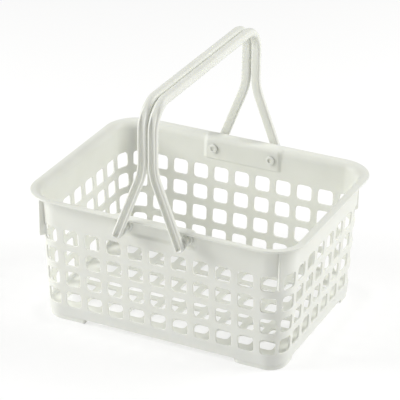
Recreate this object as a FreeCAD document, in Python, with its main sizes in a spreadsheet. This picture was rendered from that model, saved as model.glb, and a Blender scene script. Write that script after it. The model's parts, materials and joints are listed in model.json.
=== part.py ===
# Open carry basket with drain holes and two swing handles, in millimetres.
# X runs along the basket, Y across it (front at -Y), Z up. The origin is on the
# ground under the middle of the basket.
import FreeCAD, Part
import Sketcher
import os

doc = FreeCAD.newDocument("CarryBasket")

# Every size that can be set by itself. Lengths in mm, angles in degrees.
sizes = [
    # Plan of the basket: four corner axes, and radii measured out from them
    ("corner_x", 108.2, "corner axis, from the middle along the basket"),
    ("corner_y", 72.8, "corner axis, from the middle across the basket"),
    ("base_radius", 19.1, "outside radius of the wall corner at its lower edge"),
    ("draft", 3.1, "lean of the walls, outward as they rise"),
    ("wall", 2.0, "thickness of walls and floor"),
    # Heights
    ("rim_top", 135.4, "top of the rim"),
    ("wall_foot", 4.8, "lower edge of the walls"),
    ("floor_top", 14.0, "upper face of the floor"),
    ("band", 28.4, "rim's top to the lower edge of the plain band over the holes"),
    # Drain holes
    ("hole", 16.0, "side of a drain hole"),
    ("hole_round", 3.5, "corner radius of a drain hole"),
    ("pitch", 23.0, "drain hole pitch along a wall and across the floor"),
    ("row_pitch", 23.2, "drain hole pitch up a wall"),
    ("low_row", 25.4, "height of the lowest row"),
    ("rows", 4, "rows of holes in each wall"),
    ("long_columns", 9, "columns in the flat of a long wall"),
    ("short_columns", 6, "columns in the flat of a short wall"),
    ("floor_columns", 10, "floor holes along the basket"),
    ("floor_rows", 7, "floor holes across the basket"),
    ("corner_hole_angle", 17.5, "corner hole, round the corner from the nearer wall"),
    # Rim: the wall flares out into a flat flange
    ("rim_radius", 35.7, "outside radius of the rim corner"),
    ("flare", 8.5, "radius of the flare, on its upper face"),
    ("rim_round", 1.0, "radius of the rim's outer top edge"),
    # Stacking fins and feet
    ("fin", 2.3, "thickness of a stacking fin"),
    ("fin_radius", 29.8, "outer edge of a fin, from the corner axis"),
    ("fin_drop", 45.4, "rim's top to the lower end of a fin"),
    ("fin_angle", 39.0, "fin, round the corner from the long wall"),
    ("foot_inset", 0.7, "foot face, in from the wall's lower edge"),
    ("foot_width", 3.8, "width of a foot on the ground"),
    ("foot_long", 29.0, "straight part of a foot along the long wall"),
    ("foot_short", 13.0, "straight part of a foot along the short wall"),
    # Pivot panels: the sunk part of the band that the handle pegs snap into
    ("panel_end", 7.8, "peg axis to the end of the recess"),
    ("panel_radius", 23.6, "outer face of the panel, from the corner axes"),
    ("panel_drop", 22.4, "rim's top to the lower edge of the recess"),
    ("panel_bevel", 4.0, "height of the bevel under the recess"),
    ("boss_radius", 6.5, "radius of the boss round a peg hole"),
    ("boss_height", 1.6, "boss, out from the panel"),
    # Handles
    ("pivot_x", 31.7, "peg axis, from the middle"),
    ("pivot_drop", 12.0, "peg axis, below the rim's top"),
    ("leg_gap", 2.0, "between the rim and a leg"),
    ("leg_width", 9.3, "width of a leg"),
    ("leg_thick", 5.6, "thickness of a leg"),
    ("leg_end", 3.6, "peg axis to the start of the leg's rounded end"),
    ("leg_end_round", 5.4, "radius of the leg's end"),
    ("leg_bend", 60.0, "radius of the bend half way up a leg"),
    ("bend_rise", 56.6, "rim's top to where the slanted and upright parts meet"),
    ("groove_width", 4.7, "width of the groove in a leg's outer face"),
    ("groove_depth", 3.6, "depth of the groove"),
    ("grip_x", 5.3, "grip axis, from the middle"),
    ("grip_rise", 121.6, "grip axis, above the rim's top"),
    ("grip_radius", 4.9, "radius of the grip"),
    ("grip_bend", 25.0, "radius of the bend from leg to grip"),
    # Pegs
    ("peg_radius", 4.0, "radius of a peg"),
    ("peg_clearance", 0.08, "radial clearance of a peg in its hole"),
    ("eye_radius", 5.5, "radius of the eye where the peg leaves the leg"),
    ("eye_length", 1.4, "length of the eye"),
    ("collar_radius", 5.2, "radius of the thin collar on the peg"),
    ("collar_length", 1.0, "length of the collar"),
    ("collar_place", 5.2, "leg's inner face to the collar"),
    ("head_radius", 4.8, "radius of the peg's snap head"),
    ("head_length", 1.6, "length of the head"),
    ("head_clearance", 0.3, "between the head and the panel"),
    ("bore_radius", 2.2, "radius of the blind bore in a peg's end"),
    ("bore_depth", 6.0, "depth of the bore"),
]
sheet = doc.addObject("Spreadsheet::Sheet", "Sizes")
for row, (alias, value, note) in enumerate(sizes, start=1):
    sheet.set(f"A{row}", alias)
    sheet.set(f"B{row}", str(value))
    sheet.set(f"C{row}", note)
    sheet.setAlias(f"B{row}", alias)
doc.recompute()


def cell(alias):
    return f"Sizes.{alias}"


def total(*terms):
    return "(" + " + ".join(terms) + ")"


def less(first, *terms):
    return "(" + " - ".join((first,) + terms) + ")"


def half(term):
    return f"({term}) / 2"


def minus(term):
    return f"-({term})"


def wallOuter(height):
    # Outside of the drafted wall at a height, from the corner axis
    return f"({cell('base_radius')} + ({height} - {cell('wall_foot')}) * tan({cell('draft')}))"


def wallInner(height):
    return less(wallOuter(height), cell("wall"))


flareStart = less(cell("rim_top"), cell("flare"))
rimUnder = less(cell("rim_top"), cell("wall"))
flareAxis = total(wallInner(flareStart), cell("flare"))
flareUnder = less(cell("flare"), cell("wall"))
floorUnder = less(cell("floor_top"), cell("wall"))
bandBottom = less(cell("rim_top"), cell("band"))
finFoot = less(cell("rim_top"), cell("fin_drop"))
panelBottom = less(cell("rim_top"), cell("panel_drop"))
panelHalf = total(cell("pivot_x"), cell("panel_end"))
panelInner = less(cell("panel_radius"), cell("wall"))
pivotZ = less(cell("rim_top"), cell("pivot_drop"))
bendZ = total(cell("rim_top"), cell("bend_rise"))
gripZ = total(cell("rim_top"), cell("grip_rise"))
legInner = total(cell("corner_y"), cell("rim_radius"), cell("leg_gap"))
legOuter = total(legInner, cell("leg_thick"))
legMiddle = total(legInner, half(cell("leg_thick")))
headStart = less(total(cell("corner_y"), panelInner), cell("head_clearance"))
pegLength = less(legInner, headStart)
lean = (f"atan(({cell('pivot_x')} - {cell('grip_x')})"
        f" / ({bendZ} - {pivotZ}))")
bendSetback = f"{cell('leg_bend')} * tan(({lean}) / 2)"
uprightEnd = less(gripZ, cell("grip_bend"))


def newBody(label, turn=0, outX="0", outY="0"):
    # turn is about Z; outX and outY move the body's own origin
    body = doc.addObject("PartDesign::Body", label)
    body.Label = label
    body.Placement = FreeCAD.Placement(FreeCAD.Vector(), FreeCAD.Rotation(FreeCAD.Vector(0, 0, 1), turn))
    body.setExpression("Placement.Base.x", outX)
    body.setExpression("Placement.Base.y", outY)
    return body


def newSketch(body, role, lift="0", turn="0", shift="0"):
    # role names an origin plane. lift moves the sketch along its normal, turn swings
    # it about its own upright axis, and shift slides it along that axis.
    plane = [item for item in body.Origin.OriginFeatures if item.Role == role][0]
    sketch = body.newObject("Sketcher::SketchObject", "Sketch")
    sketch.AttachmentSupport = [(plane, "")]
    sketch.MapMode = "FlatFace"
    sketch.AttachmentOffset = FreeCAD.Placement(
        FreeCAD.Vector(), FreeCAD.Rotation(FreeCAD.Vector(0, 1, 0), float(body.evalExpression(turn))))
    if turn != "0":
        sketch.setExpression("AttachmentOffset.Rotation.Angle", turn)
    if shift != "0":
        sketch.setExpression("AttachmentOffset.Base.y", shift)
    if lift != "0":
        sketch.setExpression("AttachmentOffset.Base.z", lift)
    return sketch


def outline(sketch, points):
    # A closed outline, anticlockwise. Each point is (x, y), (x, y, radius) or
    # (x, y, radius, "hollow"): the radius makes the stretch to the next point an arc,
    # which bulges outward unless it is hollow.
    corners = [[float(sketch.evalExpression(term)) for term in point[:2]] for point in points]
    for index, point in enumerate(points):
        start = FreeCAD.Vector(*corners[index], 0)
        end = FreeCAD.Vector(*corners[(index + 1) % len(points)], 0)
        if len(point) > 2:
            radius = float(sketch.evalExpression(point[2]))
            chord = end - start
            rise = (radius ** 2 - (chord.Length / 2) ** 2) ** 0.5
            outward = FreeCAD.Vector(chord.y, -chord.x, 0).normalize() * (-1 if len(point) == 4 else 1)
            centre = (start + end) / 2 - outward * rise
            sketch.addGeometry(Part.Arc(start, centre + outward * radius, end), False)
            sketch.addConstraint(Sketcher.Constraint("Radius", index, radius))
            name = f"radius{index}"
            sketch.renameConstraint(sketch.ConstraintCount - 1, name)
            sketch.setExpression("Constraints." + name, point[2])
        else:
            sketch.addGeometry(Part.LineSegment(start, end), False)
    for index, point in enumerate(points):
        # A sketch keeps an arc anticlockwise, so a hollow one has its ends swapped
        before = (index - 1) % len(points)
        startEnd = 2 if len(point) == 4 else 1
        beforeEnd = 1 if len(points[before]) == 4 else 2
        sketch.addConstraint(Sketcher.Constraint("Coincident", before, beforeEnd, index, startEnd))
        for axis, value in enumerate(corners[index]):
            kind = ("DistanceX", "DistanceY")[axis]
            sketch.addConstraint(Sketcher.Constraint(kind, -1, 1, index, startEnd, value))
            name = f"{'xy'[axis]}{index}"
            sketch.renameConstraint(sketch.ConstraintCount - 1, name)
            sketch.setExpression("Constraints." + name, point[axis])
    return sketch


def disc(sketch, x, y, radius):
    # A circle with its centre and radius held to the sizes
    place = [float(sketch.evalExpression(term)) for term in (x, y)]
    size = float(sketch.evalExpression(radius))
    sketch.addGeometry(Part.Circle(FreeCAD.Vector(*place, 0), FreeCAD.Vector(0, 0, 1), size), False)
    for name, kind, value, term in (("x", "DistanceX", place[0], x), ("y", "DistanceY", place[1], y)):
        sketch.addConstraint(Sketcher.Constraint(kind, -1, 1, 0, 3, value))
        sketch.renameConstraint(sketch.ConstraintCount - 1, name)
        sketch.setExpression("Constraints." + name, term)
    sketch.addConstraint(Sketcher.Constraint("Radius", 0, size))
    sketch.renameConstraint(sketch.ConstraintCount - 1, "size")
    sketch.setExpression("Constraints.size", radius)
    return sketch


def roundedSquare(sketch, x, y):
    # One drain hole, centred on x, y
    reach = half(cell("hole"))
    flat = less(reach, cell("hole_round"))
    turns = [(reach, minus(flat)), (reach, flat), (flat, reach), (minus(flat), reach),
             (minus(reach), flat), (minus(reach), minus(flat)), (minus(flat), minus(reach)),
             (flat, minus(reach))]
    points = []
    for index, (along, up) in enumerate(turns):
        point = (total(x, along), total(y, up))
        points.append(point + (cell("hole_round"),) if index % 2 else point)
    return outline(sketch, points)


def pad(body, sketch, length, reverse=False, middle=False):
    feature = body.newObject("PartDesign::Pad", "Pad")
    feature.Profile = sketch
    feature.setExpression("Length", length)
    feature.Reversed = reverse
    if middle:
        feature.SideType = "Symmetric"
    doc.recompute()
    return feature


def pocket(body, sketch, length=None, reverse=False, middle=False):
    # Cuts a length, or through everything on its side when no length is given
    before = body.Shape.Volume
    feature = body.newObject("PartDesign::Pocket", "Pocket")
    feature.Profile = sketch
    if length:
        feature.setExpression("Length", length)
    else:
        feature.Type = "ThroughAll"
    feature.Reversed = reverse
    if middle:
        feature.SideType = "Symmetric"
    doc.recompute()
    if feature.Shape.Volume > before - 0.01:
        raise ValueError(f"{body.Label}: a pocket cuts nothing")
    return feature


def holeGrid(body, sketch, hole, countX, countY, pitchX, pitchY):
    # Repeats one hole along the sketch's two axes
    grid = body.newObject("PartDesign::LinearPattern", "HoleGrid")
    grid.Originals = [hole]
    grid.Direction = (sketch, ["H_Axis"])
    grid.setExpression("Length", f"({countX} - 1) * {pitchX}")
    grid.setExpression("Occurrences", countX)
    grid.Direction2 = (sketch, ["V_Axis"])
    grid.setExpression("Length2", f"({countY} - 1) * {pitchY}")
    grid.setExpression("Occurrences2", countY)
    body.Tip = grid
    doc.recompute()
    return grid


def gridStart(count, pitch):
    return f"-({count} - 1) / 2 * {pitch}"


# Cross-sections, as (distance out from the corner axis, height)
def wallOutline(bottom, top):
    return [
        (wallInner(bottom), bottom),
        (wallOuter(bottom), bottom),
        (wallOuter(top), top),
        (wallInner(top), top),
    ]


rimOutline = [
    (wallInner(flareStart), flareStart),
    (wallOuter(flareStart), flareStart, flareUnder, "hollow"),
    (flareAxis, rimUnder),
    (cell("rim_radius"), rimUnder),
    (cell("rim_radius"), less(cell("rim_top"), cell("rim_round")), cell("rim_round")),
    (less(cell("rim_radius"), cell("rim_round")), cell("rim_top")),
    (flareAxis, cell("rim_top"), cell("flare")),
]
footFace = less(cell("base_radius"), cell("foot_inset"))
recessLength = "2 * " + panelHalf
panelLength = f"2 * ({panelHalf} + {cell('wall')})"
footOutline = [
    (less(footFace, cell("foot_width")), "0"),
    (footFace, "0"),
    (footFace, cell("wall_foot")),
    (wallInner(cell("wall_foot")), cell("wall_foot")),
    (wallInner(floorUnder), floorUnder),
    (less(footFace, cell("foot_width")), floorUnder),
]

# Each side of the basket: its outward turn, how far out its corner axes are, and half
# the run between them
sides = {
    "front": (-90, "corner_y", "corner_x"),
    "right": (0, "corner_x", "corner_y"),
    "back": (90, "corner_y", "corner_x"),
    "left": (180, "corner_x", "corner_y"),
}
corners = {
    "front_right": (-90, 1, -1),
    "back_right": (0, 1, 1),
    "back_left": (90, -1, 1),
    "front_left": (180, -1, -1),
}
longSides = ("front", "back")


def sideBody(label, side):
    turn, reach, _ = sides[side]
    outX = {0: cell(reach), 180: minus(cell(reach))}.get(turn, "0")
    outY = {90: cell(reach), -90: minus(cell(reach))}.get(turn, "0")
    return newBody(label, turn, outX, outY)


def columnsHalf(columns):
    # Middle of the wall to the cut between its flat part and its corner pieces
    return f"{cell(columns)} * {cell('pitch')} / 2"


def straight(body, points, length):
    sketch = outline(newSketch(body, "XZ_Plane"), points)
    return pad(body, sketch, length, middle=True)


def makeWall(label, side, top):
    columns = "long_columns" if side in longSides else "short_columns"
    body = sideBody(label, side)
    straight(body, wallOutline(cell("wall_foot"), top), "2 * " + columnsHalf(columns))
    sketch = newSketch(body, "YZ_Plane")
    roundedSquare(sketch, gridStart(cell(columns), cell("pitch")), cell("low_row"))
    hole = pocket(body, sketch, reverse=True)
    holeGrid(body, sketch, hole, cell(columns), cell("rows"), cell("pitch"), cell("row_pitch"))
    return body


def makePivotPanel(label, side):
    # The plain band above the holes, with the sunk panel and its two peg holes
    body = sideBody(label, side)
    straight(body, wallOutline(bandBottom, flareStart), "2 * " + columnsHalf("long_columns"))
    bevelTop = total(panelBottom, cell("panel_bevel"))
    panel = outline(newSketch(body, "XZ_Plane"), [
        (wallInner(panelBottom), less(panelBottom, cell("wall"))),
        (wallOuter(panelBottom), panelBottom),
        (wallInner(flareStart), flareStart),
        (wallInner(flareStart), rimUnder),
        (panelInner, rimUnder),
        (panelInner, less(bevelTop, half(cell("wall")))),
    ])
    pad(body, panel, panelLength, middle=True)
    recess = outline(newSketch(body, "XZ_Plane"), [
        (cell("panel_radius"), bevelTop),
        (wallOuter(panelBottom), panelBottom),
        (cell("rim_radius"), panelBottom),
        (cell("rim_radius"), rimUnder),
        (cell("panel_radius"), rimUnder),
    ])
    pocket(body, recess, recessLength, middle=True)
    for place in (minus(cell("pivot_x")), cell("pivot_x")):
        boss = newSketch(body, "YZ_Plane", lift=cell("panel_radius"))
        disc(boss, place, pivotZ, cell("boss_radius"))
        pad(body, boss, cell("boss_height"))
    for place in (minus(cell("pivot_x")), cell("pivot_x")):
        bore = newSketch(body, "YZ_Plane")
        disc(bore, place, pivotZ, total(cell("peg_radius"), cell("peg_clearance")))
        pocket(body, bore, reverse=True)
    return body


def makeRim(label, side):
    # Over a pivot panel the flange reaches in to the panel, and the flare is cut away
    body = sideBody(label, side)
    straight(body, rimOutline, "2 * " + cell(sides[side][2]))
    if side in longSides:
        shelf = outline(newSketch(body, "XZ_Plane"), [
            (panelInner, rimUnder),
            (flareAxis, rimUnder),
            (flareAxis, cell("rim_top")),
            (total(panelInner, cell("wall")), cell("rim_top"), cell("wall")),
        ])
        pad(body, shelf, panelLength, middle=True)
        recess = outline(newSketch(body, "XZ_Plane"), [
            (cell("panel_radius"), less(flareStart, cell("wall"))),
            (cell("rim_radius"), less(flareStart, cell("wall"))),
            (cell("rim_radius"), rimUnder),
            (cell("panel_radius"), rimUnder),
        ])
        pocket(body, recess, recessLength, middle=True)
    return body


def cornerRing(label, corner, points, longRun, shortRun):
    # A cross-section taken a quarter turn about the corner axis, with a straight run
    # on along each of its two walls
    turn, signX, signY = corners[corner]
    outX = cell("corner_x") if signX > 0 else minus(cell("corner_x"))
    outY = cell("corner_y") if signY > 0 else minus(cell("corner_y"))
    body = newBody(label, turn, outX, outY)
    quarter = body.newObject("PartDesign::Revolution", "Quarter")
    quarter.Profile = outline(newSketch(body, "XZ_Plane"), points)
    quarter.ReferenceAxis = (quarter.Profile[0], ["V_Axis"])
    quarter.Angle = 90
    doc.recompute()
    first, second = (shortRun, longRun) if turn in (0, 180) else (longRun, shortRun)
    if first:
        pad(body, outline(newSketch(body, "XZ_Plane"), points), first)
        pad(body, outline(newSketch(body, "YZ_Plane"), points), second, reverse=True)
    return body


def makeCorner(corner):
    longRun = less(cell("corner_x"), columnsHalf("long_columns"))
    shortRun = less(cell("corner_y"), columnsHalf("short_columns"))
    section = wallOutline(cell("wall_foot"), flareStart)
    body = cornerRing("corner_" + corner, corner, section, longRun, shortRun)
    finTurn = cell("fin_angle")
    if corners[corner][0] in (0, 180):
        finTurn = less("90", finTurn)
    # The fin runs up under the flare and ends on its lower face
    finBack = less(flareAxis, cell("fin_radius"))
    finTop = f"{flareStart} + sqrt(pow({flareUnder}; 2) - pow({finBack}; 2))"
    fin = outline(newSketch(body, "XZ_Plane", turn=finTurn), [
        (less(wallOuter(finFoot), half(cell("wall"))), finFoot),
        (cell("fin_radius"), finFoot),
        (cell("fin_radius"), finTop, flareUnder),
        (wallOuter(flareStart), flareStart),
        (less(wallOuter(flareStart), half(cell("wall"))), flareStart),
    ])
    pad(body, fin, cell("fin"), middle=True)
    for turn in (cell("corner_hole_angle"), less("90", cell("corner_hole_angle"))):
        sketch = newSketch(body, "YZ_Plane", turn=turn)
        roundedSquare(sketch, "0", cell("low_row"))
        hole = pocket(body, sketch, reverse=True)
        column = body.newObject("PartDesign::LinearPattern", "HoleColumn")
        column.Originals = [hole]
        column.Direction = (sketch, ["V_Axis"])
        column.setExpression("Length", f"({cell('rows')} - 1) * {cell('row_pitch')}")
        column.setExpression("Occurrences", cell("rows"))
        body.Tip = column
        doc.recompute()
    return body


def makeFloor(label):
    # A flat plate inside the walls, its rounded corners on the corner axes
    body = newBody(label)
    radius = wallInner(floorUnder)
    across, along = cell("corner_y"), cell("corner_x")
    reachX, reachY = total(along, radius), total(across, radius)
    plate = newSketch(body, "XY_Plane", lift=floorUnder)
    outline(plate, [
        (reachX, minus(across)),
        (reachX, across, radius),
        (along, reachY),
        (minus(along), reachY, radius),
        (minus(reachX), across),
        (minus(reachX), minus(across), radius),
        (minus(along), minus(reachY)),
        (along, minus(reachY), radius),
    ])
    pad(body, plate, cell("wall"))
    sketch = newSketch(body, "XY_Plane")
    roundedSquare(sketch, gridStart(cell("floor_columns"), cell("pitch")),
                  gridStart(cell("floor_rows"), cell("pitch")))
    hole = pocket(body, sketch, reverse=True)
    holeGrid(body, sketch, hole, cell("floor_columns"), cell("floor_rows"), cell("pitch"), cell("pitch"))
    return body


def legOutline(width, below, above):
    # The slanted and upright parts of a leg as one strip, seen from the front.
    # below is how far it runs past the peg axis, above is its upper end's height.
    side = half(width)
    slantX, slantZ = f"sin({lean})", f"cos({lean})"
    centreX = total(cell("grip_x"), cell("leg_bend"))
    centreZ = total(bendZ, bendSetback)
    lowX = total(cell("pivot_x"), f"({below}) * {slantX}")
    lowZ = less(pivotZ, f"({below}) * {slantZ}")
    outer = f"({cell('leg_bend')} + {side})"
    inner = f"({cell('leg_bend')} - {side})"
    return {
        "lowLeft": (less(lowX, f"{side} * {slantZ}"), less(lowZ, f"{side} * {slantX}")),
        "lowRight": (total(lowX, f"{side} * {slantZ}"), total(lowZ, f"{side} * {slantX}")),
        "bendRight": (less(centreX, f"{inner} * {slantZ}"), less(centreZ, f"{inner} * {slantX}"),
                      inner, "hollow"),
        "uprightRight": (less(centreX, inner), centreZ),
        "topRight": (less(centreX, inner), above),
        "topLeft": (less(centreX, outer), above),
        "uprightLeft": (less(centreX, outer), centreZ, outer),
        "bendLeft": (less(centreX, f"{outer} * {slantZ}"), less(centreZ, f"{outer} * {slantX}")),
    }


def makeHandle(label, turn):
    body = newBody(label, turn)
    width, thick, bend = cell("leg_width"), cell("leg_thick"), cell("grip_bend")
    grip = disc(newSketch(body, "XZ_Plane"), cell("grip_x"), gripZ, cell("grip_radius"))
    pad(body, grip, f"2 * ({legMiddle} - {bend})", middle=True)
    # The bend from leg to grip turns about an axis along X
    section = newSketch(body, "XY_Plane", lift=uprightEnd, shift=minus(less(legMiddle, bend)))
    outline(section, [
        (less(cell("grip_x"), half(width)), minus(total(bend, half(thick)))),
        (total(cell("grip_x"), half(width)), minus(total(bend, half(thick)))),
        (total(cell("grip_x"), half(width)), minus(less(bend, half(thick)))),
        (less(cell("grip_x"), half(width)), minus(less(bend, half(thick)))),
    ])
    shoulder = body.newObject("PartDesign::Revolution", "Shoulder")
    shoulder.Profile = section
    shoulder.ReferenceAxis = (section, ["H_Axis"])
    shoulder.Angle = 90
    shoulder.Reversed = True
    doc.recompute()
    strip = legOutline(width, cell("leg_end"), uprightEnd)
    leg = outline(newSketch(body, "XZ_Plane", lift=legInner), legPoints(strip, cell("leg_end_round")))
    legPad = pad(body, leg, thick)
    channel = legOutline(cell("groove_width"), cell("leg_end"), uprightEnd)
    groove = outline(newSketch(body, "XZ_Plane", lift=legOuter), legPoints(channel, None))
    groovePocket = pocket(body, groove, cell("groove_depth"))
    steps = [shoulder, legPad, groovePocket]
    # Eye, collar, peg and snap head, all on the peg axis and running inward
    for start, length, radius in (
            (legInner, cell("eye_length"), cell("eye_radius")),
            (legInner, pegLength, cell("peg_radius")),
            (less(legInner, cell("collar_place")), cell("collar_length"), cell("collar_radius")),
            (headStart, cell("head_length"), cell("head_radius"))):
        ring = disc(newSketch(body, "XZ_Plane", lift=start), cell("pivot_x"), pivotZ, radius)
        steps.append(pad(body, ring, length, reverse=True))
    bore = newSketch(body, "XZ_Plane", lift=less(headStart, cell("head_length")))
    disc(bore, cell("pivot_x"), pivotZ, cell("bore_radius"))
    steps.append(pocket(body, bore, cell("bore_depth"), reverse=True))
    twin = body.newObject("PartDesign::Mirrored", "BackLeg")
    twin.Originals = steps
    twin.MirrorPlane = ([item for item in body.Origin.OriginFeatures if item.Role == "XZ_Plane"][0], [""])
    body.Tip = twin
    doc.recompute()
    return body


def legPoints(strip, endRound):
    # Anticlockwise from the lower left, with a round or a flat lower end
    lowLeft = strip["lowLeft"] + (endRound,) if endRound else strip["lowLeft"]
    return [lowLeft, strip["lowRight"], strip["bendRight"], strip["uprightRight"], strip["topRight"],
            strip["topLeft"], strip["uprightLeft"], strip["bendLeft"]]


pieces = [makeFloor("floor_grille")]
for side in sides:
    top = bandBottom if side in longSides else flareStart
    pieces.append(makeWall(side + "_wall", side, top))
for side in longSides:
    pieces.append(makePivotPanel(side + "_pivot_panel", side))
for side in sides:
    pieces.append(makeRim(side + "_rim", side))
for corner in corners:
    pieces.append(makeCorner(corner))
    pieces.append(cornerRing("rim_" + corner, corner, rimOutline, None, None))
    pieces.append(cornerRing("foot_" + corner, corner, footOutline, cell("foot_long"), cell("foot_short")))
pieces.append(makeHandle("right_handle", 0))
pieces.append(makeHandle("left_handle", 180))
doc.recompute()

for item in doc.Objects:
    if {"Invalid", "Error"} & set(item.State):
        raise ValueError(f"{item.Label} ({item.Name}): {item.State}")
for piece in pieces:
    if piece.Shape.isNull() or not piece.Shape.isValid() or len(piece.Shape.Solids) != 1:
        raise ValueError(f"{piece.Label} is not one valid solid")
os.makedirs("parts", exist_ok=True)
for piece in pieces:
    piece.Shape.exportStep(f"parts/{piece.Label}.step")
print(f"{len(pieces)} pieces written")
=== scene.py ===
import json
import math

import bmesh
import bpy
from mathutils import Matrix, Vector


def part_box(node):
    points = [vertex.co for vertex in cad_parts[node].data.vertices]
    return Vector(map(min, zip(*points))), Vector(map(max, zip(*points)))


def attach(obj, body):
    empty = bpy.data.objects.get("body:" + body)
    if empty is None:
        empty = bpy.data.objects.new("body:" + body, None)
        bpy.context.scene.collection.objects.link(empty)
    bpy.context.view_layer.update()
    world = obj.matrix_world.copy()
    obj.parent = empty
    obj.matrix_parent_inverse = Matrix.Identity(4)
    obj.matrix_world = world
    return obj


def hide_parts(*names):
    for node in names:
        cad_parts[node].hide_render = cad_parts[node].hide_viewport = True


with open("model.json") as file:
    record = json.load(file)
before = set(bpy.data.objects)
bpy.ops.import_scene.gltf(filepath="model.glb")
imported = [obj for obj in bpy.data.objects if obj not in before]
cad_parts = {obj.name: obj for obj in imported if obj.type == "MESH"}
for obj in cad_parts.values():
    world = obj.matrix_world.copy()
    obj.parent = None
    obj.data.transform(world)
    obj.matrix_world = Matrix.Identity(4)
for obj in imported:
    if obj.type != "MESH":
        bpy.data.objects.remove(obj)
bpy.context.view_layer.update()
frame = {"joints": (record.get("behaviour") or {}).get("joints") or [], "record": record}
mm = 0.001    # the pieces below are worked out in millimetres


def boxOf(node):
    low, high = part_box(node)
    return low / mm, high / mm


class Skin:
    # Points in millimetres and the faces between them, for one moulding
    def __init__(self):
        self.points = []
        self.faces = []

    def add(self, places):
        first = len(self.points)
        self.points.extend(places)
        return list(range(first, len(self.points)))

    def join(self, first, second):
        # quads between two closed rings that have as many points
        for i in range(len(first)):
            j = (i + 1) % len(first)
            self.faces.append((first[i], first[j], second[j], second[i]))

    def rings(self, rows):
        made = [self.add(row) for row in rows]
        for first, second in zip(made, made[1:]):
            self.join(first, second)
        return made

    def cap(self, ring):
        self.faces.append(tuple(ring))


def between(first, second, share):
    return first + (second - first) * share


def ease(share):
    share = min(1, max(0, share))
    return share * share * (3 - 2 * share)


def turnTo(degrees):
    angle = math.radians(degrees)
    return Vector((math.cos(angle), math.sin(angle), 0))


# Basket shell: four corner axes, walls that lean outward, holes in rows

shell = {
    "baseRadius": 19.1,     # outside of the wall corner at its lower edge
    "draft": 3.1,           # degrees
    "wall": 2.0,
    "pitch": 23.0,
    "rowPitch": 23.2,
    "lowRow": 25.4,
    "rows": 4,
    "hole": 16.0,
    "holeRound": 3.5,
    "holeEdge": 0.45,       # rounding of the hole's edges
    "cornerHole": 17.5,     # degrees round the corner to the middle of its first hole
    "footEdge": 0.7,        # rounding of the wall's lower edge
}
cornerX = boxOf("front_rim")[1].x
cornerY = boxOf("right_rim")[1].y
flatX = boxOf("front_wall")[1].x
flatY = boxOf("right_wall")[1].y
wallFoot = boxOf("front_wall")[0].z
flareStart = boxOf("right_wall")[1].z
rimTop = boxOf("front_rim")[1].z
rimRadius = boxOf("right_rim")[1].x - cornerX
wall = shell["wall"]
rowsLow = shell["lowRow"] - shell["rowPitch"] / 2
rowsHigh = rowsLow + shell["rows"] * shell["rowPitch"]
cellSteps = 8               # points along each side of a hole's cell; holeLoop gives as many

# Each corner: its axis, the turn where its arc starts, and half the run and half the
# holed run of the side before it. They go round anticlockwise from above.
corners = [
    (Vector((cornerX, -cornerY, 0)), -90, cornerX, flatX),
    (Vector((cornerX, cornerY, 0)), 0, cornerY, flatY),
    (Vector((-cornerX, cornerY, 0)), 90, cornerX, flatX),
    (Vector((-cornerX, -cornerY, 0)), 180, cornerY, flatY),
]


def wallRadius(height):
    return shell["baseRadius"] + (height - wallFoot) * math.tan(math.radians(shell["draft"]))


def upright(corner, along, height):
    # where a point at this distance round the wall stands: a base point and a direction,
    # the distance being 0 where the corner's arc starts
    axis, start, _, _ = corners[corner]
    quarter = wallRadius(height) * math.pi / 2
    if along < 0:
        return axis + turnTo(start + 90) * along, turnTo(start)
    if along > quarter:
        return axis + turnTo(start + 180) * (along - quarter), turnTo(start + 90)
    return axis, turnTo(start + 90 * along / quarter)


def onWall(corner, along, depth, height):
    base, out = upright(corner, along, height)
    place = base + out * (wallRadius(height) - depth)
    return (place.x, place.y, height)


def wallCells():
    # each cell is (corner, left, middle, right): distances round the wall at a height
    cells = []
    arc = math.radians(shell["cornerHole"])
    for index in range(4):
        before = corners[index][2] - corners[index][3]
        following = corners[(index + 1) % 4]
        after = following[2] - following[3]
        cells.append((
            index,
            lambda z, edge=before: -edge,
            lambda z: wallRadius(z) * arc,
            lambda z: wallRadius(z) * math.pi / 4))
        cells.append((
            index,
            lambda z: wallRadius(z) * math.pi / 4,
            lambda z: wallRadius(z) * (math.pi / 2 - arc),
            lambda z, edge=after: wallRadius(z) * math.pi / 2 + edge))
        start = -following[2] - following[3]
        for step in range(round(2 * following[3] / shell["pitch"])):
            left = start + step * shell["pitch"]
            cells.append((
                (index + 1) % 4,
                lambda z, place=left: place,
                lambda z, place=left: place + shell["pitch"] / 2,
                lambda z, place=left: place + shell["pitch"]))
    return cells


def holeLoop(extra):
    # 32 points round a hole, as many as round its cell, from the lower left; extra is how
    # far outside the hole they stand
    flat = shell["hole"] / 2 - shell["holeRound"]
    radius = shell["holeRound"] + extra
    loop = []
    for quarter in range(4):
        turn = 225 + 90 * quarter
        first = turnTo(turn) * flat * math.sqrt(2)
        second = turnTo(turn + 90) * flat * math.sqrt(2)
        for angle in (0, 22.5, 45):
            loop.append(first + turnTo(turn + angle) * radius)
        for share in (0.25, 0.5, 0.75):
            loop.append(first.lerp(second, share) + turnTo(turn + 45) * radius)
        for angle in (45, 67.5):
            loop.append(second + turnTo(turn + angle) * radius)
    return [(point.x, point.y) for point in loop]


# start and direction of a square's four sides, anticlockwise
sides = [(0, 0, 1, 0), (1, 0, 0, 1), (1, 1, -1, 0), (0, 1, 0, -1)]


def cellLoop():
    # the cell's own border in shares of its width and height, in step with the hole's
    return [(x + dx * i / cellSteps, y + dy * i / cellSteps)
            for x, y, dx, dy in sides for i in range(cellSteps)]


def throughHole(thick):
    # (outside the hole's edge, depth) down one side of the wall and out at the other
    edge = shell["holeEdge"]
    rounding = [(edge * (1 - math.sin(a)), edge * (1 - math.cos(a)))
                for a in (0, math.pi / 4, math.pi / 2)]
    return rounding + [(extra, thick - depth) for extra, depth in reversed(rounding)]


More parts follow.
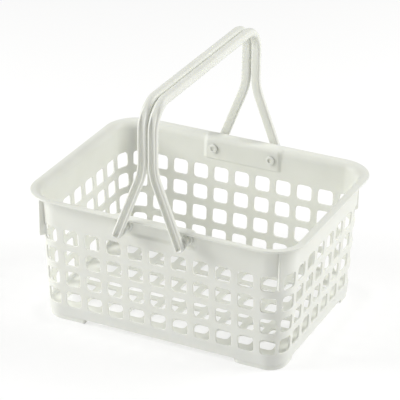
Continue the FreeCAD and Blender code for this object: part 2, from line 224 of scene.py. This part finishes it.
def addWalls(skin):
    for corner, left, middle, right in wallCells():
        for row in range(shell["rows"]):
            low = rowsLow + row * shell["rowPitch"]
            centre = low + shell["rowPitch"] / 2

            def border(depth):
                places = []
                for across, up in cellLoop():
                    z = low + up * shell["rowPitch"]
                    places.append(onWall(corner, between(left(z), right(z), across), depth, z))
                return places

            def hole(extra, depth):
                return [onWall(corner, middle(centre + up) + across, depth, centre + up)
                        for across, up in holeLoop(extra)]

            skin.rings([border(0)] + [hole(*step) for step in throughHole(wall)] + [border(wall)])


def columns(height, finer):
    # uprights round the whole basket, as (base, direction, whether it starts a cell's step);
    # finer says how many a step has at a place
    made = []
    for corner, left, _, right in wallCells():
        for step in range(cellSteps):
            share = step / cellSteps
            middle = between(left(height), right(height), share + 0.5 / cellSteps)
            base, out = upright(corner, middle, height)
            count = finer(base + out * wallRadius(height))
            for part in range(count):
                along = between(left(height), right(height), share + part / count / cellSteps)
                made.append((*upright(corner, along, height), part == 0))
    return made


def addLowerEdge(skin):
    # from the lowest holes down round the wall's foot and up inside
    edge = shell["footEdge"]
    section = [(0, rowsLow)]
    for angle in range(0, 91, 30):
        a = math.radians(angle)
        section.append((edge * (1 - math.cos(a)), wallFoot + edge * (1 - math.sin(a))))
    section += [(wall - depth, z) for depth, z in reversed(section)]
    uprights = columns(rowsLow, lambda place: 1)
    rows = []
    for depth, z in section:
        radius = wallRadius(z) - depth
        rows.append([(*(base + out * radius).xy, z) for base, out, _ in uprights])
    skin.rings(rows)


# Rim and pivot panels: the wall flares out into a flange, and on the long sides a sunk
# panel stands under the flange for the handles' pegs

rim = {
    "flare": 8.5,           # radius of the flare's upper face
    "panelRadius": 23.6,    # outer face of the panel, from the corner axes
    "panelFlat": 38.8,      # half length of the panel's flat
    "panelEnd": 43.4,       # half length with its sloped ends
    "panelLow": 113.0,
    "panelSlope": 4.2,      # height of the slope under the panel
    "panelStep": 1.3,       # the same slope inside the basket
    "panelCorner": 5.5,     # inside radius from the panel over to the flange
    "bossRadius": 6.5,
    "bossHeight": 1.6,
    "bossEdge": 0.35,
    "bossFillet": 0.4,
    "holeRadius": 4.08,
    "holeEdge": 0.3,
    "holeBlock": 4.8,       # half side of the square that each peg hole is cut from
    # heights of the rows of points between the highest holes and the flare's curve
    "heights": [110, 110.9, 111.2, 111.5, 111.8, 112.2, 113, 113.8, 114.6, 115.4, 116.2, 117.2, 118.6,
                119.6, 120.6, 121.6, 122.6, 123.6, 124.6, 125.6, 126.6, 127.2, 127.9, 128.6],
}
hinges = {joint["child"]: Vector(joint["pos_m"]) / mm for joint in frame["joints"]}
pivotX = hinges["right_handle"].x
pivotZ = hinges["right_handle"].z
rimUnder = rimTop - wall
flareAxis = wallRadius(flareStart) - wall + rim["flare"]


def flareAt(height, radius):
    return flareAxis - math.sqrt(max(0, radius ** 2 - max(0, height - flareStart) ** 2))


def rimSection():
    # (plain radius, panel radius, height) up the outside, over the edge and down inside
    under = rim["flare"] - wall
    corner = rim["panelCorner"]
    face = rim["panelRadius"] - wall
    cornerStart = rimTop - corner
    shared = [rowsHigh + 0.8, *rim["heights"]]

    def overCorner(z, radius):
        return face + corner - math.sqrt(max(0, radius ** 2 - (z - cornerStart) ** 2))

    def outside(z):
        slope = ease((z - rim["panelLow"]) / rim["panelSlope"])
        plain = wallRadius(z) if z < flareStart else flareAt(z, under)
        if z > cornerStart:
            return plain, overCorner(z, corner - wall), z
        return plain, between(wallRadius(min(z, rim["panelLow"] + 2)), rim["panelRadius"], slope), z

    def inside(z):
        slope = ease((z - rim["panelLow"] + wall) / rim["panelStep"])
        plain = wallRadius(z) - wall if z < flareStart else flareAt(z, rim["flare"])
        if z > cornerStart:
            return plain, overCorner(z, corner), z
        return plain, between(wallRadius(min(z, rim["panelLow"])) - wall, face, slope), z

    def arcHeights(radius, steps):
        first = math.asin((shared[-1] - flareStart) / radius)
        return [flareStart + radius * math.sin(between(first, math.pi / 2, step / steps))
                for step in range(1, steps + 1)]

    edge = wall / 2
    outerFlat = rimRadius - edge
    flange = [(between(flareAxis, outerFlat, share), between(face + corner, outerFlat, share))
              for share in (0.1, 0.35, 0.7, 1)]
    rows = [outside(z) for z in shared + arcHeights(under, 8)]
    rows += [(plain, panel, rimUnder) for plain, panel in flange]
    for angle in range(-60, 61, 30):
        a = math.radians(angle)
        radius = outerFlat + edge * math.cos(a)
        rows.append((radius, radius, rimUnder + edge + edge * math.sin(a)))
    rows += [(plain, panel, rimTop) for plain, panel in reversed(flange)]
    rows += [inside(z) for z in reversed(arcHeights(rim["flare"], 10))]
    rows += [inside(z) for z in reversed(shared)]
    return rows


def onLongSide(base, out):
    return abs(out.y) > 0.999 and abs(base.x) < cornerX


def addRim(skin):
    def finer(place):
        # closer together round the corners, and closest across the panels
        if abs(place.x) > cornerX and abs(place.y) > cornerY:
            return 3
        if abs(place.y) > cornerY and abs(place.x) < 2 * shell["pitch"]:
            return 4
        return 1

    uprights = columns(rowsHigh, finer)
    section = rimSection()
    grid = []
    for plain, panel, z in section:
        row = []
        for base, out, _ in uprights:
            share = 0
            if onLongSide(base, out):
                share = ease((rim["panelEnd"] - abs(base.x)) / (rim["panelEnd"] - rim["panelFlat"]))
            row.append((*(base + out * between(plain, panel, share)).xy, z))
        grid.append(row)
    indexes = [skin.add(row) for row in grid]
    count = len(uprights)
    # faces left out for the four peg holes, by (back, right, inside of the panel)
    blocks = {}
    for row in range(len(section) - 1):
        z = (section[row][2] + section[row + 1][2]) / 2
        steep = abs(section[row][2] - section[row + 1][2]) > 0.3
        for column in range(count):
            after = (column + 1) % count
            base, out, _ = uprights[column]
            x = (base.x + uprights[after][0].x) / 2
            level = steep and abs(z - pivotZ) < rim["holeBlock"]
            beside = onLongSide(base, out) and abs(abs(x) - pivotX) < rim["holeBlock"]
            if level and beside:
                key = (out.y > 0, x > 0, row > len(section) / 2)
                blocks.setdefault(key, []).append((row, column))
                continue
            skin.faces.append((indexes[row][column], indexes[row][after],
                               indexes[row + 1][after], indexes[row + 1][column]))
    # the first and last rows meet the coarser holes below
    coarse = [column for column in range(count) if uprights[column][2]]
    for row, depth in ((0, 0), (len(section) - 1, wall)):
        radius = wallRadius(rowsHigh) - depth
        below = skin.add([(*(uprights[c][0] + uprights[c][1] * radius).xy, rowsHigh) for c in coarse])
        for i, column in enumerate(coarse):
            j = (i + 1) % len(coarse)
            end = coarse[j] if j else count
            upper = [indexes[row][c % count] for c in range(end, column - 1, -1)]
            skin.faces.append((below[i], below[j], *upper))
    for back in (False, True):
        for right in (False, True):
            outer, inner = (blockRing(indexes, blocks[back, right, inside]) for inside in (False, True))
            addPegHole(skin, outer, inner, back, right)


def blockRing(indexes, block):
    # the points round a block of left-out faces, in order
    rows = [row for row, _ in block]
    cols = [column for _, column in block]
    low, high, first, last = min(rows), max(rows) + 1, min(cols), max(cols) + 1
    ring = [indexes[low][c] for c in range(first, last)]
    ring += [indexes[r][last] for r in range(low, high)]
    ring += [indexes[high][c] for c in range(last, first, -1)]
    ring += [indexes[r][first] for r in range(high, low, -1)]
    return ring


def addPegHole(skin, outer, inner, back, right):
    # a round hole through the panel, joined to the left-out faces' borders on both sides
    centreX = pivotX if right else -pivotX
    side = 1 if back else -1

    def angleOf(index):
        x, _, z = skin.points[index]
        return math.atan2(z - pivotZ, x - centreX)

    angles = [angleOf(index) for index in outer]
    facing = [min(inner, key=lambda i: abs(math.remainder(angleOf(i) - angle, 2 * math.pi)))
              for angle in angles]
    face = cornerY + rim["panelRadius"]
    edge = rim["holeEdge"]
    made = [outer]
    for extra, depth in ((edge, 0), (0, edge), (0, wall - edge), (edge, wall)):
        radius = rim["holeRadius"] + extra
        y = side * (face - depth)
        made.append(skin.add([(centreX + radius * math.cos(a), y, pivotZ + radius * math.sin(a))
                              for a in angles]))
    made.append(facing)
    for first, second in zip(made, made[1:]):
        skin.join(first, second)


def addLathe(skin, profile, centre, toward):
    # turns (radius, distance) about an axis along Y; a profile from axis to axis is solid,
    # and any other is a ring
    steps = 48
    solid = profile[0][0] == 0
    rows = []
    for radius, distance in (profile[1:-1] if solid else profile):
        y = centre.y + toward * distance
        rows.append([(centre.x + radius * math.cos(2 * math.pi * i / steps), y,
                      centre.z + radius * math.sin(2 * math.pi * i / steps)) for i in range(steps)])
    made = skin.rings(rows)
    if solid:
        skin.cap(made[0])
        skin.cap(made[-1])
    else:
        skin.join(made[-1], made[0])


def addBosses(skin):
    edge, high, reach = rim["bossEdge"], rim["bossHeight"], rim["bossRadius"]
    inner, fillet = rim["holeRadius"], rim["bossFillet"]
    profile = [
        (inner, -fillet), (inner, high - edge), (inner + edge, high), (reach - edge, high),
        (reach - 0.1, high - 0.1), (reach, high - edge), (reach, edge), (reach + 0.1, 0.12),
        (reach + fillet, 0), (reach + fillet, -fillet),
    ]
    for x in (-pivotX, pivotX):
        for side in (-1, 1):
            centre = Vector((x, side * (cornerY + rim["panelRadius"]), pivotZ))
            addLathe(skin, profile, centre, side)


# Floor, stacking fins and feet

floorPlate = {
    "columns": 10,
    "rows": 7,
    "fillet": 1.2,
}
floorTop = boxOf("floor_grille")[1].z


def addFloor(skin):
    pitch = shell["pitch"]
    startX = -floorPlate["columns"] * pitch / 2
    startY = -floorPlate["rows"] * pitch / 2

    for column in range(floorPlate["columns"]):
        for row in range(floorPlate["rows"]):
            x, y = startX + column * pitch, startY + row * pitch

            def border(z):
                return [(x + across * pitch, y + up * pitch, z) for across, up in cellLoop()]

            def hole(extra, depth):
                return [(x + pitch / 2 + across, y + pitch / 2 + up, floorTop - depth)
                        for across, up in holeLoop(extra)]

            skin.rings([border(floorTop)] + [hole(*step) for step in throughHole(wall)]
                       + [border(floorTop - wall)])
    # the margin out to the walls, on the same points as the outermost holes
    edge = []
    for across, up, dx, dy in sides:
        steps = (floorPlate["columns"] if dx else floorPlate["rows"]) * cellSteps
        for step in range(steps):
            share = step / steps
            edge.append(Vector((startX * (1 - 2 * (across + dx * share)),
                                startY * (1 - 2 * (up + dy * share)), 0)))

    def ring(radius, z):
        # the edge's points pushed out to this distance from the corner axes
        places = []
        for point in edge:
            near = Vector((min(cornerX, max(-cornerX, point.x)), min(cornerY, max(-cornerY, point.y)), 0))
            place = near + (point - near).normalized() * radius
            places.append((place.x, place.y, z))
        return places

    fillet = floorPlate["fillet"]
    inside = wallRadius(floorTop) - wall
    rows = [[(*point.xy, floorTop) for point in edge]]
    for angle in (0, 30, 60, 90):
        a = math.radians(angle)
        rows.append(ring(inside - fillet * (1 - math.sin(a)), floorTop + fillet * (1 - math.cos(a))))
    rows += [ring(inside + 1, floorTop + fillet), ring(inside + 1, floorTop - wall)]
    rows.append([(*point.xy, floorTop - wall) for point in edge])
    skin.rings(rows)


fins = {
    "thick": 2.3,
    "reach": 29.8,          # outer edge, from the corner axis
    "low": 90.0,
    "turn": 39.0,           # degrees round the corner from the long wall
    "edge": 0.4,
    "sunk": 1.0,            # how far it goes into the wall
    "tipIn": 0.8,           # the cut at its lower tip, inward
    "tipUp": 1.2,           # and upward
    "topSunk": 0.6,         # how far it goes into the flare
}
feet = {
    "inset": 0.7,
    "width": 3.8,
    "long": 29.0,
    "short": 13.0,
    "slant": 2.4,           # how far each end leans in at the ground
    "edge": 0.6,
    "sunk": 0.5,            # how far it goes up into the wall
    "step": 0.8,            # from its face in to the part that goes up to the floor
    "floorSunk": 0.3,       # how far it goes up into the floor
    "sideSteps": 6,
    "arcSteps": 16,
}


def addRoundedSolid(skin, bottom, top, edge):
    # a prism between two outlines, with rounded edges
    solid = bmesh.new()
    lower = [solid.verts.new(place) for place in bottom]
    upper = [solid.verts.new(place) for place in top]
    solid.faces.new(lower)
    solid.faces.new(list(reversed(upper)))
    for i in range(len(lower)):
        j = (i + 1) % len(lower)
        solid.faces.new((lower[j], lower[i], upper[i], upper[j]))
    bmesh.ops.bevel(solid, geom=list(solid.edges), offset=edge, segments=3, profile=0.5, affect="EDGES")
    solid.verts.index_update()
    first = skin.add([tuple(vert.co) for vert in solid.verts])[0]
    for face in solid.faces:
        skin.faces.append(tuple(first + vert.index for vert in face.verts))
    solid.free()


def addFins(skin):
    under = rim["flare"] - wall
    reach = fins["reach"]
    low = fins["low"]
    top = flareStart + math.sqrt(under ** 2 - (flareAxis - reach) ** 2) + fins["topSunk"]
    outline = [
        (wallRadius(low) - fins["sunk"], low), (reach - fins["tipIn"], low), (reach, low + fins["tipUp"]),
        (reach, top), (wallRadius(flareStart) - fins["sunk"], flareStart),
    ]
    for index, (axis, start, _, _) in enumerate(corners):
        turn = fins["turn"] if index in (0, 2) else 90 - fins["turn"]
        out = turnTo(start + turn)
        across = turnTo(start + turn + 90) * fins["thick"] / 2
        faces = []
        for shift in (-across, across):
            faces.append([axis + out * radius + shift + Vector((0, 0, z)) for radius, z in outline])
        addRoundedSolid(skin, *faces, fins["edge"])


def addFeet(skin):
    face = shell["baseRadius"] - feet["inset"]
    inner = face - feet["width"]
    edge = feet["edge"]
    upper = face - feet["step"]
    high = floorTop - wall + feet["floorSunk"]
    section = [
        (inner, edge), (inner + edge / 3, edge / 3), (inner + edge, 0), (face - edge, 0),
        (face - edge / 3, edge / 3), (face, edge), (face, wallFoot + feet["sunk"]),
        (upper, wallFoot + feet["sunk"]), (upper, high), (inner, high),
    ]
    sideSteps, arcSteps = feet["sideSteps"], feet["arcSteps"]
    for index, (axis, start, _, _) in enumerate(corners):
        before, after = feet["long"], feet["short"]
        if index in (1, 3):
            before, after = after, before
        stations = [("before", -before * (1 - step / sideSteps)) for step in range(sideSteps)]
        stations += [("arc", 90 * step / arcSteps) for step in range(arcSteps + 1)]
        stations += [("after", after * (step + 1) / sideSteps) for step in range(sideSteps)]
        rows = []
        for number, (kind, amount) in enumerate(stations):
            row = []
            for radius, z in section:
                lean = feet["slant"] * max(0, 1 - z / wallFoot)
                if kind == "before":
                    shift = lean if number == 0 else 0
                    place = axis + turnTo(start + 90) * (amount + shift) + turnTo(start) * radius
                elif kind == "after":
                    shift = lean if number == len(stations) - 1 else 0
                    place = axis + turnTo(start + 180) * (amount - shift) + turnTo(start + 90) * radius
                else:
                    place = axis + turnTo(start + amount) * radius
                row.append((place.x, place.y, z))
            rows.append(row)
        made = skin.rings(rows)
        skin.cap(made[0])
        skin.cap(made[-1])


# Handles: a leg in channel section on each side, which turns into a round grip, and a
# peg at each leg's foot

handle = {
    "gap": 2.0,             # rim to leg
    "width": 9.3,
    "thick": 5.6,
    "corner": 1.5,          # rounding of the leg's long edges
    "grooveWidth": 4.7,
    "grooveDepth": 2.6,
    "grooveFoot": 1.3,      # rounding along the groove's floor
    "grooveLip": 0.7,       # rounding along its mouth
    "pastPeg": 6.25,        # peg axis to the leg's tip
    "gripX": 5.3,
    "gripRadius": 4.9,
    "bendHeight": 192.0,
    "bendRadius": 60.0,
    "shoulder": 25.0,       # bend from leg to grip
}
peg = {
    "radius": 4.0,
    "eyeRadius": 5.5,
    "eyeLength": 1.4,
    "collarRadius": 5.2,
    "collarPlace": 5.2,     # the collar's far end, from the leg's inner face
    "collarLength": 1.0,
    "headRadius": 4.8,
    "headLength": 1.6,
    "headClearance": 0.3,
    "boreRadius": 2.2,
    "boreDepth": 1.0,
    "edge": 0.25,           # rounding of the collar and the head
    "fillet": 0.15,         # rounding where they meet the shank
    "sunk": 0.6,            # how far the eye goes into the leg
}
gripZ = boxOf("right_handle")[1].z - handle["gripRadius"]
legInner = cornerY + rimRadius + handle["gap"]
legMiddle = legInner + handle["thick"] / 2


def channelSection(halfWidth, depth, roundness):
    # a closed section as (across, outward), worked out for one half from the groove's middle
    # to the inner face's middle; roundness blends it into the grip's circle
    thick = handle["thick"] / 2
    groove = handle["grooveWidth"] / 2 * min(1, halfWidth / (handle["width"] / 2))
    corner = min(handle["corner"], halfWidth * 0.5)
    foot = min(handle["grooveFoot"], depth * 0.5)
    lip = min(handle["grooveLip"], depth * 0.3)
    floor = thick - depth
    half = [
        (0, floor), (groove - foot, floor), (groove - foot * 0.3, floor + foot * 0.3),
        (groove, floor + foot), (groove, thick - lip), (groove + lip * 0.3, thick - lip * 0.3),
        (groove + lip, thick), (halfWidth - corner, thick),
        (halfWidth - corner * 0.29, thick - corner * 0.29), (halfWidth, thick - corner),
        (halfWidth, corner - thick), (halfWidth - corner * 0.29, corner * 0.29 - thick),
        (halfWidth - corner, -thick), (0, -thick),
    ]
    angles = (90, 83, 77, 71, 62, 55, 47, 38, 26, 12, -20, -39, -58, -90)
    blended = []
    for (across, outward), angle in zip(half, angles):
        circle = turnTo(angle) * handle["gripRadius"]
        blended.append((between(across, circle.x, roundness), between(outward, circle.y, roundness)))
    return blended + [(-across, outward) for across, outward in reversed(blended[1:-1])]


def handleStations():
    # from the front leg's tip up to the middle of the grip: place, across, outward, and
    # the section's half width, groove depth and roundness
    half = handle["width"] / 2
    depth = handle["grooveDepth"]
    gripX = handle["gripX"]
    lean = math.atan((pivotX - gripX) / (handle["bendHeight"] - pivotZ))
    bend = handle["bendRadius"]
    bendTop = handle["bendHeight"] + bend * math.tan(lean / 2)
    slope = Vector((-math.sin(lean), 0, math.cos(lean)))
    across = Vector((math.cos(lean), 0, math.sin(lean)))
    outward = Vector((0, -1, 0))
    pegPlace = Vector((pivotX, -legMiddle, pivotZ))
    stations = []
    # the leg's tip is rounded, with a radius a little larger than half its width
    endRound = half * 1.16
    sagitta = endRound - math.sqrt(endRound ** 2 - half ** 2)
    for fromTip in (0.0, 0.12, 0.35, 0.7, 1.15, 1.7, 2.3, 3.0, 3.7, 4.5, 5.5, 8):
        width = half
        if fromTip < sagitta:
            width = math.sqrt(endRound ** 2 - (endRound - max(fromTip, 0.05)) ** 2)
        groove = depth * ease((fromTip - 1.5) / 1.8)
        place = pegPlace + slope * (fromTip - handle["pastPeg"])
        stations.append((place, across, outward, width, groove, 0))

    def onBend(turn):
        return Vector((gripX + bend - bend * math.cos(turn), -legMiddle, bendTop - bend * math.sin(turn)))

    low = stations[-1][0]
    for step in range(1, 8):
        stations.append((low.lerp(onBend(lean), step / 8), across, outward, half, depth, 0))
    for step in range(13):
        turn = lean * (1 - step / 12)
        along = Vector((math.cos(turn), 0, math.sin(turn)))
        stations.append((onBend(turn), along, outward, half, depth, 0))
    shoulder = handle["shoulder"]
    shoulderZ = gripZ - shoulder
    side = Vector((1, 0, 0))
    for step in range(1, 8):
        place = Vector((gripX, -legMiddle, between(bendTop, shoulderZ, step / 8)))
        stations.append((place, side, outward, half, depth * (1 - 0.25 * ease(step / 8)), 0))
    for step in range(21):
        turn = math.pi / 2 * step / 20
        out = Vector((0, -math.cos(turn), math.sin(turn)))
        place = Vector((gripX, shoulder - legMiddle, shoulderZ)) + out * shoulder
        fade = ease(step / 13)
        stations.append((place, side, out, half, depth * 0.75 * (1 - fade), ease((step - 3) / 15)))
    end = stations[-1][0]
    for step in range(1, 7):
        place = end.lerp(Vector((gripX, 0, gripZ)), step / 6)
        stations.append((place, side, Vector((0, 0, 1)), half, 0, 1))
    return stations


def addLegs(skin):
    front = handleStations()
    rows = []
    for place, across, outward, *shape in front:
        rows.append([place + across * a + outward * o for a, o in channelSection(*shape)])
    back = [[Vector((point.x, -point.y, point.z)) for point in row] for row in reversed(rows[:-1])]
    made = skin.rings([[tuple(point) for point in row] for row in rows + back])
    skin.cap(made[0])
    skin.cap(made[-1])


def addPegs(skin):
    face = cornerY + rim["panelRadius"] - wall
    headStart = legInner - face + peg["headClearance"]
    tip = headStart + peg["headLength"]
    shank, head, bore, eye, collar = (peg[name] for name in (
        "radius", "headRadius", "boreRadius", "eyeRadius", "collarRadius"))
    eyeEnd, edge, fillet = peg["eyeLength"], peg["edge"], peg["fillet"]
    collarEnd = peg["collarPlace"]
    collarStart = collarEnd - peg["collarLength"]
    profile = [
        (0, -peg["sunk"]), (eye, -peg["sunk"]), (eye, eyeEnd - 0.35), (eye - 0.1, eyeEnd - 0.1),
        (eye - 0.4, eyeEnd), (shank + 0.3, eyeEnd), (shank, eyeEnd + 0.4),
        (shank, collarStart - fillet), (shank + fillet, collarStart), (collar - edge, collarStart),
        (collar, collarStart + edge), (collar, collarEnd - edge), (collar - edge, collarEnd),
        (shank + fillet, collarEnd), (shank, collarEnd + fillet), (shank, headStart),
        (head - edge, headStart), (head, headStart + edge),
        (head - 0.05, tip - 0.6), (head - 0.5, tip), (bore + 0.3, tip), (bore, tip - 0.3),
        (bore, tip - peg["boreDepth"]), (0, tip - peg["boreDepth"]),
    ]
    for side in (-1, 1):
        addLathe(skin, profile, Vector((pivotX, side * legInner, pivotZ)), -side)


# Finishes

plastic = {
    "light": (0.79, 0.80, 0.75, 1),
    "dark": (0.765, 0.775, 0.722, 1),
    "cloud": 30.0,          # scale of the slow colour change, per metre
    "smear": 120.0,         # scale of the change in gloss
    "grain": 2600.0,        # scale of the mould's fine texture
    "grainDepth": 0.00002,
    "grainStrength": 0.2,
    "gloss": (0.36, 0.48),  # roughness, from the smoothest to the dullest
    "refraction": 1.49,
    "glow": 0.2,            # light that soaks into the plastic
    "glowReach": 0.004,
    "glowTint": (1.0, 0.95, 0.75),
}


def ivoryPlastic(name):
    material = bpy.data.materials.new(name)
    material.use_nodes = True
    nodes, links = material.node_tree.nodes, material.node_tree.links
    place = nodes.new("ShaderNodeTexCoord")

    def noise(scale, detail):
        made = nodes.new("ShaderNodeTexNoise")
        made.inputs["Scale"].default_value = scale
        made.inputs["Detail"].default_value = detail
        links.new(place.outputs["Object"], made.inputs["Vector"])
        return made.outputs["Fac"]

    shader = nodes["Principled BSDF"]
    shader.inputs["IOR"].default_value = plastic["refraction"]
    shader.inputs["Subsurface Weight"].default_value = plastic["glow"]
    shader.inputs["Subsurface Scale"].default_value = plastic["glowReach"]
    shader.inputs["Subsurface Radius"].default_value = plastic["glowTint"]
    tint = nodes.new("ShaderNodeValToRGB")
    tint.color_ramp.elements[0].position = 0.35
    tint.color_ramp.elements[0].color = plastic["dark"]
    tint.color_ramp.elements[1].position = 0.65
    tint.color_ramp.elements[1].color = plastic["light"]
    links.new(noise(plastic["cloud"], 3), tint.inputs["Fac"])
    links.new(tint.outputs["Color"], shader.inputs["Base Color"])
    gloss = nodes.new("ShaderNodeMapRange")
    gloss.inputs["From Min"].default_value = 0.3
    gloss.inputs["From Max"].default_value = 0.7
    gloss.inputs["To Min"].default_value, gloss.inputs["To Max"].default_value = plastic["gloss"]
    links.new(noise(plastic["smear"], 5), gloss.inputs["Value"])
    links.new(gloss.outputs["Result"], shader.inputs["Roughness"])
    bump = nodes.new("ShaderNodeBump")
    bump.inputs["Strength"].default_value = plastic["grainStrength"]
    bump.inputs["Distance"].default_value = plastic["grainDepth"]
    links.new(noise(plastic["grain"], 2), bump.inputs["Height"])
    links.new(bump.outputs["Normal"], shader.inputs["Normal"])
    return material


weldGap = 0.003             # points closer than this are joined


def makePiece(name, skin, material, body, nodes):
    mesh = bpy.data.meshes.new(name)
    mesh.from_pydata([tuple(value * mm for value in point) for point in skin.points], [], skin.faces)
    shape = bmesh.new()
    shape.from_mesh(mesh)
    bmesh.ops.remove_doubles(shape, verts=shape.verts, dist=weldGap * mm)
    bmesh.ops.recalc_face_normals(shape, faces=shape.faces)
    openEdges = sum(1 for edge in shape.edges if len(edge.link_faces) != 2)
    shape.to_mesh(mesh)
    shape.free()
    mesh.shade_smooth()
    mesh.materials.append(material)
    piece = bpy.data.objects.new(name, mesh)
    bpy.context.scene.collection.objects.link(piece)
    flatten = piece.modifiers.new("FlatFaces", "WEIGHTED_NORMAL")
    flatten.weight = 80
    flatten.keep_sharp = False
    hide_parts(*nodes)
    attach(piece, body)
    print(name, len(mesh.vertices), "points,", len(mesh.polygons), "faces,", openEdges, "open edges")


basketSkin = Skin()
addWalls(basketSkin)
addLowerEdge(basketSkin)
addRim(basketSkin)
addBosses(basketSkin)
addFloor(basketSkin)
addFins(basketSkin)
addFeet(basketSkin)
basketNodes = frame["record"]["behaviour"]["bodies"]["basket"]
basketPlastic = ivoryPlastic("Basket ivory")
makePiece("basket_moulding", basketSkin, basketPlastic, "basket", basketNodes)

handlePlastic = ivoryPlastic("Handle ivory")
for body, turn in (("right_handle", 0), ("left_handle", math.pi)):
    handleSkin = Skin()
    addLegs(handleSkin)
    addPegs(handleSkin)
    spin = Matrix.Rotation(turn, 3, "Z")
    handleSkin.points = [tuple(spin @ Vector(point)) for point in handleSkin.points]
    makePiece(body + "_moulding", handleSkin, handlePlastic, body, [body])


# Studio: a white floor, soft boxes, an even sky and the camera

studio = {
    "floor": (0.45, 0.45, 0.45, 1),
    "floorGlow": 0.545,     # the floor gives light itself, so that shadows on it stay faint
    "floorDull": 0.8,
    "floorReach": 6,
    "floorDrop": 0.0002,    # how far it lies under the feet
    "sky": 0.30,
    "boxes": [
        # place, size, power, colour
        ((-1.45, -0.75, 1.0), 1.0, 27, (1.0, 1.0, 0.985)),
        ((1.25, 0.8, 1.3), 1.2, 27, (1.0, 1.0, 0.985)),
    ],
}
camera = {
    "place": (0.7675, -1.6081, 1.0007),
    "azimuth": 25.548,
    "elevation": 26.461,
    "roll": 0.559,
    "lens": 183.64,
    "sensor": 36,
    "near": 0.05,
    "far": 50,
}


def makeFloor():
    mesh = bpy.data.meshes.new("studio_floor")
    reach = studio["floorReach"]
    places = [(-reach, -reach, 0), (reach, -reach, 0), (reach, reach, 0), (-reach, reach, 0)]
    mesh.from_pydata(places, [], [(0, 1, 2, 3)])
    material = bpy.data.materials.new("Studio white")
    material.use_nodes = True
    shader = material.node_tree.nodes["Principled BSDF"]
    shader.inputs["Base Color"].default_value = studio["floor"]
    shader.inputs["Roughness"].default_value = studio["floorDull"]
    shader.inputs["Emission Color"].default_value = (1, 1, 1, 1)
    shader.inputs["Emission Strength"].default_value = studio["floorGlow"]
    # the floor isn't sampled as a lamp, which makes less noise on the handles
    material.cycles.emission_sampling = "NONE"
    mesh.materials.append(material)
    ground = bpy.data.objects.new("studio_floor", mesh)
    ground.location.z = -studio["floorDrop"]
    bpy.context.scene.collection.objects.link(ground)


def makeLights():
    middle = Vector((0, 0, 0.1))
    for number, (place, size, power, colour) in enumerate(studio["boxes"]):
        light = bpy.data.lights.new(f"soft_box_{number}", "AREA")
        light.size = size
        light.energy = power
        light.color = colour
        lamp = bpy.data.objects.new(light.name, light)
        lamp.location = place
        lamp.rotation_euler = (middle - lamp.location).to_track_quat("-Z", "Y").to_euler()
        bpy.context.scene.collection.objects.link(lamp)
    world = bpy.data.worlds.new("Even sky")
    world.use_nodes = True
    sky = world.node_tree.nodes["Background"]
    sky.inputs["Color"].default_value = (1, 1, 1, 1)
    sky.inputs["Strength"].default_value = studio["sky"]
    bpy.context.scene.world = world
    bpy.context.scene.view_settings.view_transform = "Standard"


def makeCamera():
    azimuth, elevation, roll = (math.radians(camera[name]) for name in ("azimuth", "elevation", "roll"))
    level = math.cos(elevation)
    back = Vector((math.sin(azimuth) * level, -math.cos(azimuth) * level, math.sin(elevation)))
    right = (-back).cross(Vector((0, 0, 1))).normalized()
    up = right.cross(-back)
    lens = bpy.data.cameras.new("catalogue_view")
    lens.lens = camera["lens"]
    lens.sensor_width = camera["sensor"]
    lens.clip_start = camera["near"]
    lens.clip_end = camera["far"]
    view = bpy.data.objects.new("catalogue_view", lens)
    turned = Matrix((
        right * math.cos(roll) + up * math.sin(roll),
        up * math.cos(roll) - right * math.sin(roll),
        back)).transposed()
    view.matrix_world = Matrix.Translation(camera["place"]) @ turned.to_4x4()
    bpy.context.scene.collection.objects.link(view)
    bpy.context.scene.camera = view


makeFloor()
makeLights()
makeCamera()
print("studio ready")
